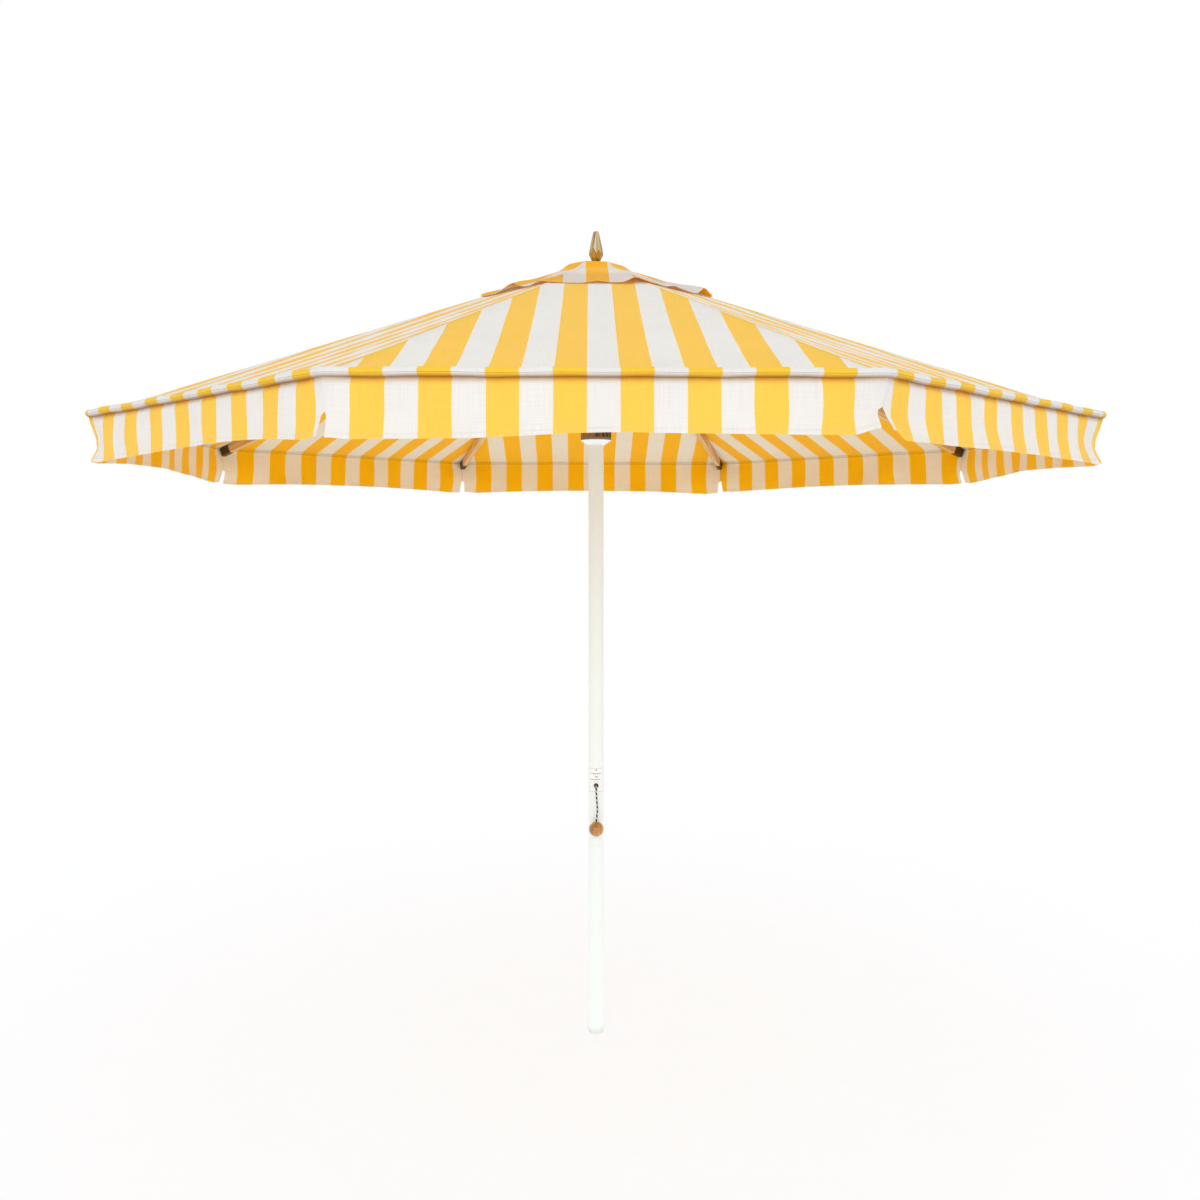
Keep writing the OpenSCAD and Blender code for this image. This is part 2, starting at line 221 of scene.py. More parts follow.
def fabric(name, yellow, white, centre_white=True, see_through=0.25, hem=None, painted_welt_shadow=0.0,
           painted_roll_shade=0.0, seam_thread=None, corner=None, lay=(0.0, 0.0)):
    """Woven stripes that follow the cloth map, with its weave, slubs, soft creases and a stitched hem. Two
    settings
    paint shade into the colour: a painted shadow that darkens the cloth under the welt, and a painted shade
    on the welt's own lower side. seam_thread is the colour of the seam along the top, and corner is where the
    seam at a gore's end lies. lay is how far the stripes are shifted, and how much more for each metre down
    the cloth."""
    s = Shader(name)
    uv = s.node("UVMap", {"uv_map": "cloth"}).outputs[0]
    parts = s.node("SeparateXYZ", Vector=uv)
    u, v = parts.outputs[0], parts.outputs[1]
    ragged = s.math("MULTIPLY", s.math("SUBTRACT", s.noise(uv, 260.0, 2.0), 0.5), 0.0012)
    shift = s.math("MULTIPLY_ADD", v, lay[1], lay[0])
    place = s.math("ADD", s.math("ADD", u, shift), ragged)
    wave = s.math("COSINE", s.math("MULTIPLY", place, 2 * math.pi / STRIPE_PERIOD))
    stripe = s.math("MULTIPLY_ADD", wave, 25.0 if centre_white else -25.0, 0.5, clamp=True)
    colour = s.mix(stripe, yellow, white)
    # threads: fine streaks both ways, and broad uneven dye
    warp = s.noise(s.node("Mapping", Vector=uv, Scale=(430.0, 9.0, 1.0)).outputs[0], 1.0, 3.0)
    weft = s.noise(s.node("Mapping", Vector=uv, Scale=(9.0, 430.0, 1.0)).outputs[0], 1.0, 3.0)
    dye = s.noise(s.object_space(), 3.0, 3.0)
    threads = s.math("ADD", s.math("MULTIPLY", warp, 0.17), s.math("MULTIPLY", weft, 0.15))
    shade = s.math("ADD", s.math("ADD", threads, s.math("MULTIPLY", dye, 0.07)), 0.805)
    grey = s.node("CombineXYZ", X=shade, Y=shade, Z=shade).outputs[0]
    colour = s.mix(1.0, colour, grey, "MULTIPLY")
    # painted shade: the welt's lower side is darkened, more in blue than in red, as shade where the roll
    # turns down
    if painted_roll_shade:
        low_side = s.math("MULTIPLY", s.math("SINE", s.math("MULTIPLY", v, 1 / WELT_R)), -1.0, clamp=True)
        below = s.math("SUBTRACT", 1.0, s.math("MULTIPLY", s.math("POWER", low_side, 2.0), painted_roll_shade))
        painted_shade_tint = s.node("CombineXYZ", X=below, Y=s.math("POWER", below, 1.5),
                      Z=s.math("POWER", below, 2.0)).outputs[0]
        colour = s.mix(1.0, colour, painted_shade_tint, "MULTIPLY")
    if seam_thread is not None:
        across = s.math("COMPARE", v, 0.0085, 0.0011)
        ticks = s.math("GREATER_THAN", s.math("SINE", s.math("MULTIPLY", u, 2 * math.pi / 0.0050)), -0.6)
        colour = s.mix(s.math("MULTIPLY", s.math("MULTIPLY", across, ticks), 0.65), colour, seam_thread)
        upright = s.math("GREATER_THAN", s.math("ABSOLUTE", u), corner - 0.0012)
        upright = s.math("MULTIPLY", upright, s.math("LESS_THAN", v, hem - SLIT_HEIGHT + HEM))
        colour = s.mix(s.math("MULTIPLY", upright, 0.6), colour, seam_thread)
    # painted shadow: the cloth in the top 25 mm under the welt is darkened, more in blue than in red
    if painted_welt_shadow:
        near_welt = s.math("MULTIPLY_ADD", v, -1 / 0.020, 1.25, clamp=True)
        below = s.math("SUBTRACT", 1.0, s.math("MULTIPLY", s.math("POWER", near_welt, 2.0), painted_welt_shadow))
        painted_shade_tint = s.node("CombineXYZ", X=below, Y=s.math("MULTIPLY", below, below),
                      Z=s.math("POWER", below, 3.0)).outputs[0]
        colour = s.mix(1.0, colour, painted_shade_tint, "MULTIPLY")
    # weave relief, soft creases
    across = s.math("SINE", s.math("MULTIPLY", u, 2 * math.pi / 0.0011))
    along = s.math("SINE", s.math("MULTIPLY", v, 2 * math.pi / 0.0013))
    weave = s.math("MULTIPLY", across, along)
    normal = s.bump(weave, 0.00012, 0.6)
    creases = s.noise(s.object_space(), 9.0, 4.0, 0.55, 0.6)
    normal = s.bump(creases, 0.004, 0.35, normal)
    if hem is not None:
        line = s.math("COMPARE", v, hem, 0.0011)
        dash = s.math("GREATER_THAN", s.math("SINE", s.math("MULTIPLY", u, 2 * math.pi / 0.0046)), -0.5)
        stitch = s.math("MULTIPLY", line, dash)
        colour = s.mix(s.math("MULTIPLY", stitch, 0.35), colour, linear(250, 240, 205))
        normal = s.bump(s.math("SUBTRACT", 1.0, line), 0.0008, 0.8, normal)
    cloth = s.principled(Base_Color=colour, Roughness=0.86, Normal=normal)
    cloth.inputs["Specular IOR Level"].default_value = 0.18
    cloth.inputs["Sheen Weight"].default_value = 0.30
    cloth.inputs["Sheen Roughness"].default_value = 0.28
    glow = s.node("BsdfTranslucent", Color=colour, Normal=normal)
    mixed = s.node("MixShader", Fac=see_through)
    s.tree.links.new(cloth.outputs[0], mixed.inputs[1])
    s.tree.links.new(glow.outputs[0], mixed.inputs[2])
    return s.finish(mixed)


def wood(name, dark, mid, light, turn=0.0, tilt=0.0, upright=False, grain=38.0, gloss=0.0, seed=0.0,
         bands=0.0):
    """Sawn or turned wood: long growth lines, fine pores and a little wear, with varnish if gloss is set."""
    s = Shader(name)
    stretch = (1.0, 1.0, 0.06) if upright else (0.06, 1.0, 1.0)
    place = s.object_space((0.0, 0.0, -turn))
    place = s.node("Mapping", Vector=place, Rotation=(0.0, -tilt, 0.0),
                   Location=(seed, seed * 0.7, 0.0)).outputs[0]
    long_way = s.node("Mapping", Vector=place, Scale=stretch).outputs[0]
    rings = s.noise(long_way, grain, 3.0, 0.55, 1.2)
    lines = s.noise(long_way, grain * 7.0, 2.0, 0.5, 0.4)
    blotch = s.noise(place, 7.0, 2.0)
    value = s.math("ADD", s.math("MULTIPLY", rings, 0.7), s.math("MULTIPLY", lines, 0.3))
    value = s.math("ADD", value, s.math("MULTIPLY", s.math("SUBTRACT", blotch, 0.5), 0.25 + bands))
    colour = s.ramp(value, (0.34, dark), (0.5, mid), (0.66, light))
    height = s.math("ADD", s.math("MULTIPLY", rings, 0.4), s.math("MULTIPLY", lines, 0.6))
    rough = s.math("MULTIPLY_ADD", lines, 0.2, 0.30 if gloss else 0.48)
    body = s.principled(Base_Color=colour, Roughness=rough, Normal=s.bump(height, 0.0006, 0.5))
    body.inputs["Coat Weight"].default_value = gloss
    body.inputs["Coat Roughness"].default_value = 0.06
    return s.finish(body)


def dimmed(colour, share):
    return tuple(share * c for c in colour[:3]) + (1.0,)


def metal(name, colour, rough=0.35, wear=None):
    """Bare metal with fine scratches, and broad patches of the wear colour."""
    s = Shader(name)
    place = s.object_space()
    fine = s.noise(place, 120.0, 4.0)
    broad = s.noise(place, 14.4, 3.0)
    tint = s.mix(s.math("MULTIPLY", broad, 0.6), colour, wear or dimmed(colour, 0.6))
    body = s.principled(Base_Color=tint, Metallic=1.0, Normal=s.bump(fine, 0.0002, 0.4),
                        Roughness=s.math("MULTIPLY_ADD", fine, 0.25, rough - 0.1))
    return s.finish(body)


def cut_brass(name, dark, mid, light):
    """Antique brass with a tone for each cut face, chosen by the way it faces: painted reflection, with fine
    wear over it.
    """
    s = Shader(name)
    facing = s.tree.nodes.new("ShaderNodeTexCoord").outputs["Normal"]
    # painted reflection: each face's tone follows the direction it faces
    facet_reflection = s.noise(facing, 2.6, 1.0)
    colour = s.ramp(facet_reflection, (0.36, dark), (0.50, mid), (0.62, light))
    wear = s.noise(s.object_space(), 160.0, 4.0)
    colour = s.mix(s.math("MULTIPLY", wear, 0.35), colour, linear(104, 74, 34))
    body = s.principled(Base_Color=colour, Metallic=0.85, Roughness=s.math("MULTIPLY_ADD", wear, 0.25, 0.18),
                        Normal=s.bump(wear, 0.0003, 0.5))
    return s.finish(body)


def printed_label(name):
    """White film with a plain printed pattern: a dot, broken bars and a dashed border."""
    s = Shader(name)
    low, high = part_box("pole_label")
    middle = (low.z + high.z) / 2
    place = s.node("SeparateXYZ", Vector=s.object_space()).outputs
    x, z = place[0], place[2]
    reach = s.math("POWER", s.math("ADD", s.math("POWER", x, 2.0),
                                   s.math("POWER", s.math("SUBTRACT", z, middle + 0.038), 2.0)), 0.5)
    # each bar: across and up from the label's middle, half its width and half its height
    bars = [(-0.001, 0.0247, 0.020, 0.0013), (0.000, 0.0200, 0.011, 0.0005), (0.000, 0.0120, 0.006, 0.0020),
            (-0.003, 0.0020, 0.018, 0.0014), (-0.001, -0.0050, 0.009, 0.0005),
            (-0.001, -0.0370, 0.004, 0.0014)]
    ink = s.math("LESS_THAN", reach, 0.0028)
    broken = s.math("GREATER_THAN", s.math("SINE", s.math("MULTIPLY", x, 2 * math.pi / 0.0037)), -0.5)
    for across, up, half_width, half_height in bars:
        bar = s.math("MULTIPLY", s.math("COMPARE", x, across, half_width),
                     s.math("COMPARE", z, middle + up, half_height))
        ink = s.math("MAXIMUM", ink, s.math("MULTIPLY", bar, broken))
    sides = s.math("COMPARE", s.math("ABSOLUTE", x), 0.0262, 0.0005)
    ends = s.math("COMPARE", s.math("ABSOLUTE", s.math("SUBTRACT", z, middle)), 0.0430, 0.0008)
    for border, along in ((sides, z), (ends, x)):
        dashes = s.math("SINE", s.math("MULTIPLY", along, 2 * math.pi / 0.0085))
        dashes = s.math("GREATER_THAN", dashes, 0.1)
        ink = s.math("MAXIMUM", ink, s.math("MULTIPLY", s.math("MULTIPLY", border, dashes), 0.75))
    wear = s.noise(s.object_space(), 700.0, 3.0)
    ink = s.math("MULTIPLY", ink, s.math("MULTIPLY_ADD", wear, 0.3, 0.80))
    film = s.mix(s.math("MULTIPLY", wear, 0.3), linear(240, 241, 240), linear(226, 227, 224))
    body = s.principled(Base_Color=s.mix(ink, film, linear(52, 54, 60)), Roughness=0.32,
                        Normal=s.bump(wear, 0.00003, 0.4))
    return s.finish(body)


def coated(name, colour, rough=0.38, grain=900.0, depth=0.00008, dirt=None):
    """Painted, powder-coated or moulded surface with a faint orange-peel texture."""
    s = Shader(name)
    place = s.object_space()
    peel = s.noise(place, grain, 2.0)
    broad = s.noise(place, 5.0, 4.0, 0.6)
    tint = s.mix(s.math("MULTIPLY", broad, 0.5), colour, dirt or dimmed(colour, 0.93))
    body = s.principled(Base_Color=tint, Roughness=s.math("MULTIPLY_ADD", broad, 0.12, rough - 0.06),
                        Normal=s.bump(peel, depth, 0.5))
    return s.finish(body)


# ---- Meshes ------------------------------------------------------------------------------------
def add_mesh(name, vertices, faces, materials, uv=None, smooth=math.radians(40)):
    """A mesh object; uv has one place on the cloth map for each vertex."""
    mesh = bpy.data.meshes.new(name)
    mesh.from_pydata([tuple(p) for p in vertices], [], faces)
    for material in materials:
        mesh.materials.append(material)
    if uv is not None:
        layer = mesh.uv_layers.new(name="cloth")
        loops = np.zeros(len(mesh.loops), np.int32)
        mesh.loops.foreach_get("vertex_index", loops)
        layer.data.foreach_set("uv", np.asarray(uv, np.float32)[loops].ravel())
    mesh.shade_smooth()
    mesh.set_sharp_from_angle(angle=smooth)
    piece = bpy.data.objects.new(name, mesh)
    bpy.context.scene.collection.objects.link(piece)
    return piece


def apply_modifiers(piece):
    """The modifiers' result becomes the piece's own mesh."""
    graph = bpy.context.evaluated_depsgraph_get()
    mesh = bpy.data.meshes.new_from_object(piece.evaluated_get(graph))
    mesh.name = piece.name
    piece.modifiers.clear()
    piece.data = mesh


def grid_faces(rows, columns, flip=False, closed=False):
    """Quads over a grid of vertices; a closed grid's last column meets its first."""
    faces = []
    for j in range(rows - 1):
        for i in range(columns - (0 if closed else 1)):
            after = (i + 1) % columns
            quad = (j * columns + i, j * columns + after, (j + 1) * columns + after, (j + 1) * columns + i)
            faces.append(quad[::-1] if flip else quad)
    return faces


def cloth_sheet(name, points, uv, outside, materials):
    """A closed sheet with real thickness. points and uv are grids, and outside is where its face looks to.
    It thins out at its first column, in the middle of a gore, to meet its other half without an edge."""
    rows, columns = points.shape[:2]
    normal = np.cross(np.gradient(points, axis=1), np.gradient(points, axis=0))
    normal /= np.linalg.norm(normal, axis=-1, keepdims=True)
    turned = np.sign(np.dot(normal[rows // 2, columns // 2], outside))
    depth = np.minimum(np.arange(columns) / 2.0, 1.0)[None, :, None] * CLOTH
    back = points - normal * turned * depth
    vertices = np.concatenate([points.reshape(-1, 3), back[:, 1:].reshape(-1, 3)])
    uvs = np.concatenate([uv.reshape(-1, 2), uv[:, 1:].reshape(-1, 2)])
    front_at = np.arange(rows * columns).reshape(rows, columns)
    back_at = front_at.copy()
    back_at[:, 1:] = rows * columns + np.arange(rows * (columns - 1)).reshape(rows, columns - 1)

    def quads(at, flip):
        corners = [at[:-1, :-1], at[:-1, 1:], at[1:, 1:], at[1:, :-1]]
        made = np.stack(corners, axis=-1).reshape(-1, 4)
        return made[:, ::-1] if flip else made

    def edge(front, behind, flip):
        made = []
        for i in range(len(front) - 1):
            loop = [front[i], front[i + 1], behind[i + 1], behind[i]]
            loop = list(dict.fromkeys(int(v) for v in loop))
            made.append(loop[::-1] if flip else loop)
        return made

    flip = turned < 0
    front_faces = quads(front_at, flip).tolist()
    back_faces = quads(back_at, not flip).tolist()
    rim = (edge(front_at[0], back_at[0], not flip) + edge(front_at[-1], back_at[-1], flip)
           + edge(front_at[:, -1], back_at[:, -1], not flip))
    piece = add_mesh(name, vertices, front_faces + back_faces + rim, materials, uvs)
    if len(materials) > 1:
        first = len(front_faces)
        for face in piece.data.polygons[first:first + len(back_faces)]:
            face.material_index = 1
    return piece


def smoothstep(x):
    x = np.clip(x, 0.0, 1.0)
    return x * x * (3 - 2 * x)


def curve_through(x, places, heights):
    """A smooth curve through the given heights; places rise from first to last."""
    places, heights = np.asarray(places, float), np.asarray(heights, float)
    slope = np.gradient(heights, places)
    x = np.clip(x, places[0], places[-1])
    i = np.clip(np.searchsorted(places, x, side="right") - 1, 0, len(places) - 2)
    gap = places[i + 1] - places[i]
    t = (x - places[i]) / gap
    return ((2 * t ** 3 - 3 * t ** 2 + 1) * heights[i] + (t ** 3 - 2 * t ** 2 + t) * slope[i] * gap
            + (3 * t ** 2 - 2 * t ** 3) * heights[i + 1] + (t ** 3 - t ** 2) * slope[i + 1] * gap)


def gore_point(angle, a, u, z):
    """Points from a gore's own measures: a outwards from the pole axis, u across the gore."""
    return np.stack([a * math.cos(angle) - u * math.sin(angle),
                     a * math.sin(angle) + u * math.cos(angle), z + 0 * a], axis=-1)


def half_gore(k, side):
    """The gore that lies on that side of rib k: its angle, the sign of u towards the rib, and its number."""
    angle = rib_angle(k) + side * HALF
    return angle, -side, round(angle / STEP) % GORES


def half_gore_grid(radii, rows, count, from_ridge):
    """Places a outwards and u across half a gore, between two ridge radii. The first columns share out the
    width evenly, and the last ones lie at set distances from the ridge."""
    a = np.linspace(radii[0], radii[1], rows)[:, None]
    half_width = a * TAN_HALF
    even = np.linspace(0.0, 1.0, count)[None, :-1] * (half_width - from_ridge[0])
    u = np.concatenate([even, half_width - np.array(from_ridge)[None, :]], axis=1)
    return np.broadcast_to(a, u.shape), u


def flatten(piece, k, side):
    """Works out a half gore's ridge and its direction across, towards the ridge, and gives the piece its own
    copy of its mesh.
    """
    angle, sign, _ = half_gore(k, side)
    rib = rib_angle(k)
    ridge = np.array([math.cos(rib), math.sin(rib), -RIDGE_DROP])
    ridge /= np.linalg.norm(ridge)
    across = np.array([-math.sin(angle), math.cos(angle), 0.0]) * sign
    across -= ridge * np.dot(across, ridge)
    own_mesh(piece)


# ---- Canopy ------------------------------------------------------------------------------------
CANOPY_SAG = 0.010
SEAM_HALF = 0.009                          # half width of the felled seam over a rib
CANOPY_EDGE = (0.020, 0.0110, 0.0090, 0.0075, 0.0030, 0.0014, 0.0)


def canopy_height(a, u, gore):
    """Height of the canopy's face: taut planes with a little sag, faint pulls, and a raised felled seam."""
    half_width = a * TAN_HALF
    share = np.clip((a - VENT_RADIUS * math.cos(HALF)) / (APOTHEM - VENT_RADIUS * math.cos(HALF)), 0, 1)
    across = np.abs(u) / half_width
    sag = CANOPY_SAG * (1 - across ** 2) * 4 * share * (1 - share) * (0.5 + 0.5 * share)
    free = smoothstep(np.abs(u) / 0.10) * smoothstep((half_width - np.abs(u)) / 0.05)
    free = free * smoothstep((APOTHEM - a) / 0.06)
    phase = 1.9 * gore
    pulls = (0.0011 * np.sin(21.0 * u + 9.0 * a + phase) + 0.0008 * np.sin(37.0 * u - 15.0 * a + 2.3 * phase)
             + 0.0006 * np.sin(9.0 * u + 41.0 * a + 1.1 * phase))
    to_ridge = half_width - np.abs(u)
    seam = 0.0010 * (1 - smoothstep((to_ridge - SEAM_HALF + 0.0015) / 0.0018))
    groove = 0.0006 * (1 - smoothstep(to_ridge / 0.0016))
    return APEX_Z - GORE_DROP * a - sag + pulls * free + seam - groove


def canopy_half(k, side, materials):
    angle, sign, gore = half_gore(k, side)
    radii = (VENT_RADIUS * math.cos(HALF), APOTHEM - 0.006)
    a, u = half_gore_grid(radii, 72, 34, CANOPY_EDGE)
    points = gore_point(angle, a, u * sign, canopy_height(a, u * sign, gore))
    slope = math.hypot(1, GORE_DROP)
    uv = np.stack([u * sign, a * slope], axis=-1)
    name = f"canopy_cloth_{k}_{'after' if side > 0 else 'before'}"
    piece = cloth_sheet(name, points, uv, (0, 0, 1), materials)
    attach(piece, f"rib_{k}")
    flatten(piece, k, side)
    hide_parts(f"canopy_{k}")
    return piece


# ---- Rolled welt round the rim -----------------------------------------------------------------
def welt_half(k, side, material):
    angle, sign, gore = half_gore(k, side)
    theta = np.linspace(0, 2 * math.pi, 20, endpoint=False)
    share = np.linspace(0, 1, 90)[:, None]
    length = APOTHEM * TAN_HALF
    run = share * length
    swell = 0.05 * np.sin(47 * run + 1.3 * gore) * smoothstep(run / 0.1) * smoothstep((length - run) / 0.05)
    lift = 0.0012 * np.sin(19 * run + 2.1 * gore) * smoothstep(run / 0.15) * smoothstep((length - run) / 0.1)
    round_off = 0.004 * (1 - smoothstep((length - run) / 0.02)) ** 2
    a = APOTHEM - 0.002 - round_off + WELT_R * (1 + swell) * np.cos(theta)[None, :]
    z = RIM_Z + 0.0085 + lift + WELT_R * (1 + swell) * np.sin(theta)[None, :]
    u = a * TAN_HALF * share
    points = gore_point(angle, a, u * sign, z)
    around = np.broadcast_to(theta[None, :] * WELT_R, u.shape)
    uv = np.stack([np.broadcast_to(run * sign, u.shape), around], axis=-1)
    rows, columns = points.shape[:2]
    flip = sign < 0
    faces = grid_faces(rows, columns, not flip, closed=True)
    first = list(range(columns))
    last = [(rows - 1) * columns + i for i in range(columns)]
    faces += [tuple(first if not flip else first[::-1]), tuple(last[::-1] if not flip else last)]
    name = f"welt_{k}_{'after' if side > 0 else 'before'}"
    piece = add_mesh(name, points.reshape(-1, 3), faces, [material], uv.reshape(-1, 2))
    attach(piece, f"rib_{k}")
    flatten(piece, k, side)
    return piece


# ---- Valance -----------------------------------------------------------------------------------
VALANCE_A = APOTHEM - 0.0045               # the valance's plane, from the pole axis
SLIT_HEIGHT = 0.059                        # open slit at each corner, from the bottom edge
TALL_SLITS = {6: 0.064, 7: 0.072}          # the two front corners gape further
HEM = 0.012                                # width of the sewn hem
WELT_TUCK = 0.006                          # how far the valance's top is set back under the welt

# Half width of the slit, on the side before and the side after each rib
SLITS = {1: (0.015, 0.013), 2: (0.014, 0.016), 3: (0.016, 0.013), 4: (0.014, 0.015),
         5: (0.013, 0.015), 6: (0.026, 0.006), 7: (0.021, 0.017), 8: (0.013, 0.015)}

# How far the loose corner of cloth beside each slit curls up
FLAPS = {1: (0.006, 0.004), 2: (0.004, 0.008), 3: (0.007, 0.003), 4: (0.004, 0.006),
         5: (0.004, 0.006), 6: (0.009, 0.005), 7: (0.016, 0.024), 8: (0.005, 0.007)}

# How far the hem is above its lowest line, in five places from one end of a gore to the other
HEM_LIFT = {
    0: (0.000, 0.012, 0.020, 0.010, 0.000),
    1: (0.000, 0.010, 0.014, 0.009, 0.000),
    2: (-0.010, 0.004, 0.008, 0.006, -0.004),
    3: (-0.004, 0.008, 0.012, 0.008, -0.004),
    4: (0.000, 0.014, 0.026, 0.022, 0.004),
    5: (0.002, 0.012, 0.020, 0.020, 0.000),
    6: (0.000, 0.004, 0.017, 0.014, 0.012),
    7: (0.002, 0.004, 0.006, 0.004, 0.000),
}

# How far the cloth stands out half way down and at the hem: at each corner, and in seven places between
CORNER_WAVE = {1: (-0.014, 0.002), 2: (-0.010, 0.000), 3: (-0.012, 0.003), 4: (-0.015, 0.000),
               5: (-0.020, -0.001), 6: (-0.009, 0.003), 7: (-0.020, 0.008), 8: (-0.021, 0.001)}
MIDDLE_WAVE = {
    0: (-0.004, 0.003, -0.002, 0.004, 0.000, -0.004, -0.006),
    1: (0.003, -0.004, 0.004, -0.001, 0.005, 0.000, -0.004),
    2: (-0.005, 0.003, 0.001, -0.004, 0.004, -0.002, -0.004),
    3: (-0.003, 0.004, -0.003, 0.002, -0.002, 0.005, -0.005),
    4: (-0.004, 0.002, 0.004, -0.003, 0.003, -0.003, -0.004),
    5: (0.005, 0.002, -0.002, -0.001, 0.001, -0.002, 0.002),
    6: (-0.006, 0.004, -0.001, -0.003, 0.004, -0.004, 0.005),
    7: (-0.010, 0.001, -0.006, -0.003, -0.002, -0.003, -0.009),
}
HEM_WAVE = {
    0: (0.010, -0.004, 0.008, 0.000, 0.010, 0.003, 0.009),
    1: (0.006, 0.010, -0.004, 0.007, -0.003, 0.009, 0.003),
    2: (0.009, -0.003, 0.008, 0.004, -0.004, 0.009, 0.002),
    3: (0.003, 0.010, -0.002, 0.008, 0.006, -0.004, 0.008),
    4: (0.009, 0.000, 0.007, -0.003, 0.009, 0.002, 0.007),
    5: (-0.002, -0.006, -0.004, -0.007, -0.002, -0.005, 0.004),
    6: (0.008, -0.003, 0.006, 0.010, -0.002, 0.007, -0.004),
    7: (0.012, 0.006, 0.015, 0.011, 0.014, 0.009, 0.011),
}


def hem_lift(gore, u, length):
    return curve_through(u / length, np.linspace(-1, 1, 5), HEM_LIFT[gore])


def corner_before(gore):
    """The rib at a gore's first end; the rib at its other end is the next one."""
    return (gore - 1) % GORES + 1


def valance_waves(gore, u, down, length):
    """How far the hanging cloth stands out, from its places half way down and at the hem."""
    first, last = corner_before(gore), gore % GORES + 1
    places = np.linspace(-1, 1, 9)
    middle = (CORNER_WAVE[first][0],) + MIDDLE_WAVE[gore] + (CORNER_WAVE[last][0],)
    hem = (CORNER_WAVE[first][1],) + HEM_WAVE[gore] + (CORNER_WAVE[last][1],)
    edge = smoothstep((1 - np.abs(u / length)) / 0.10)
    ripple = 0.0022 * np.sin(29.0 * u + 1.1 * gore) * np.sin(math.pi * down) * edge
    pucker = 0.0009 * np.sin(150.0 * u + 2.0 * gore) * np.exp(-((down - 0.06) / 0.08) ** 2) * edge
    return (curve_through(u / length, places, middle) * np.sin(math.pi * down ** 1.25) ** 1.4
            + curve_through(u / length, places, hem) * down ** 1.6 + ripple + pucker)


def valance_half(k, side, materials):
    angle, sign, gore = half_gore(k, side)
    top, bottom = RIM_Z + 0.002, VALANCE_BOTTOM
    height = top - bottom
    down = np.linspace(0, 1, 40)[:, None]
    inner = np.linspace(0, 1, 76)[None, :]
    length = VALANCE_A * TAN_HALF
    run = inner * length
    from_corner = length - run
    waves = valance_waves(gore, run * sign, down, length)
    hem = 0.0006 * smoothstep((down * height - height + HEM + 0.001) / 0.002)
    tuck = WELT_TUCK * (1 - smoothstep(down * height / 0.024)) * smoothstep((from_corner - 0.02) / 0.05)
    a = VALANCE_A + waves + hem - tuck
    flap = FLAPS[k][side > 0] * (1 - smoothstep(from_corner / 0.065)) * smoothstep((down - 0.45) / 0.55)
    z = top - down * (height - hem_lift(gore, run * sign, length)) + flap
    wide = SLITS[k][side > 0]
    tall = TALL_SLITS.get(k, SLIT_HEIGHT)
    drop = bottom + tall - (top - down * height)
    into = np.clip(drop / 0.012, 0, 1)
    slit = wide * np.sqrt(into * (2 - into)) * (0.55 + 0.45 * np.clip(drop / tall, 0, 1))
    near = (1 - smoothstep(from_corner / 0.30)) * smoothstep(from_corner / 0.02)
    slant = 0.006 * near * np.sin(math.pi * down) * math.sin(2.3 * k + side)
    u = (a * TAN_HALF - slit) * inner + slant
    points = gore_point(angle, a, u * sign, z)
    uv = np.stack([np.broadcast_to((length - slit) * inner * sign, u.shape),
                   np.broadcast_to(down * height, u.shape)], axis=-1)
    name = f"valance_cloth_{k}_{'after' if side > 0 else 'before'}"
    outside = (math.cos(angle), math.sin(angle), 0)
    piece = cloth_sheet(name, points, uv, outside, materials)
    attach(piece, f"valance_{k}")
    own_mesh(piece)
    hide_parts(f"valance_{k}")
    return piece


# ---- Vent cap ----------------------------------------------------------------------------------
COLLAR_RADIUS = 0.104                      # the cap is fixed to the hub inside this, and to the ribs outside
CAP_SLOPE = math.hypot(1, (CAP_TOP_Z - CAP_HEM_Z) / (CAP_RADIUS - CROWN_RADIUS))
CAP_EDGE = (0.012, 0.008, 0.006, 0.004, 0.0)

# The cap's domed shape over a ridge: radius from the pole axis, and height from the clamped middle
CAP_PROFILE = [(0.000, 0.0000), (0.018, 0.0000), (0.030, 0.0035), (0.050, 0.0070), (0.070, 0.0076),
               (0.090, 0.0078), (0.105, 0.0060), (0.120, -0.0025), (0.146, -0.0225), (0.180, -0.0405),
               (0.230, -0.0565), (0.270, -0.0715), (0.330, -0.0975), (0.370, -0.1155), (0.410, -0.1308),
               (0.453, -0.1468)]
CAP_LEAN = 0.0035                          # the dome sits this much lower away from its puffed side
CAP_LEAN_SIDE = math.radians(170)

# How far the cap's free hem is lifted off the canopy, in nine places from one end of a gore to the other
CAP_LIFT = {
    0: (0.002, 0.024, 0.004, 0.003, 0.012, 0.005, 0.002, 0.014, 0.003),
    1: (0.003, 0.010, 0.003, 0.014, 0.005, 0.002, 0.009, 0.016, 0.002),
    2: (0.002, 0.012, 0.004, 0.002, 0.016, 0.006, 0.003, 0.010, 0.002),
    3: (0.002, 0.004, 0.018, 0.006, 0.002, 0.012, 0.004, 0.015, 0.003),
    4: (0.003, 0.012, 0.005, 0.016, 0.004, 0.003, 0.010, 0.020, 0.002),
    5: (0.002, 0.001, 0.003, 0.016, 0.024, 0.008, 0.003, 0.012, 0.004),
    6: (0.003, 0.001, 0.000, 0.001, 0.006, 0.002, 0.004, 0.019, 0.004),
    7: (0.003, 0.004, 0.002, 0.010, 0.006, 0.003, 0.005, 0.028, 0.002),
}


def cap_profile(radius, turn):
    shoulder = smoothstep((radius - 0.03) / 0.05) * (1 - smoothstep((radius - 0.12) / 0.08))
    lean = CAP_LEAN * (np.cos(turn - CAP_LEAN_SIDE) - 1) * shoulder
    return CAP_TOP_Z + curve_through(radius, *zip(*CAP_PROFILE)) + lean


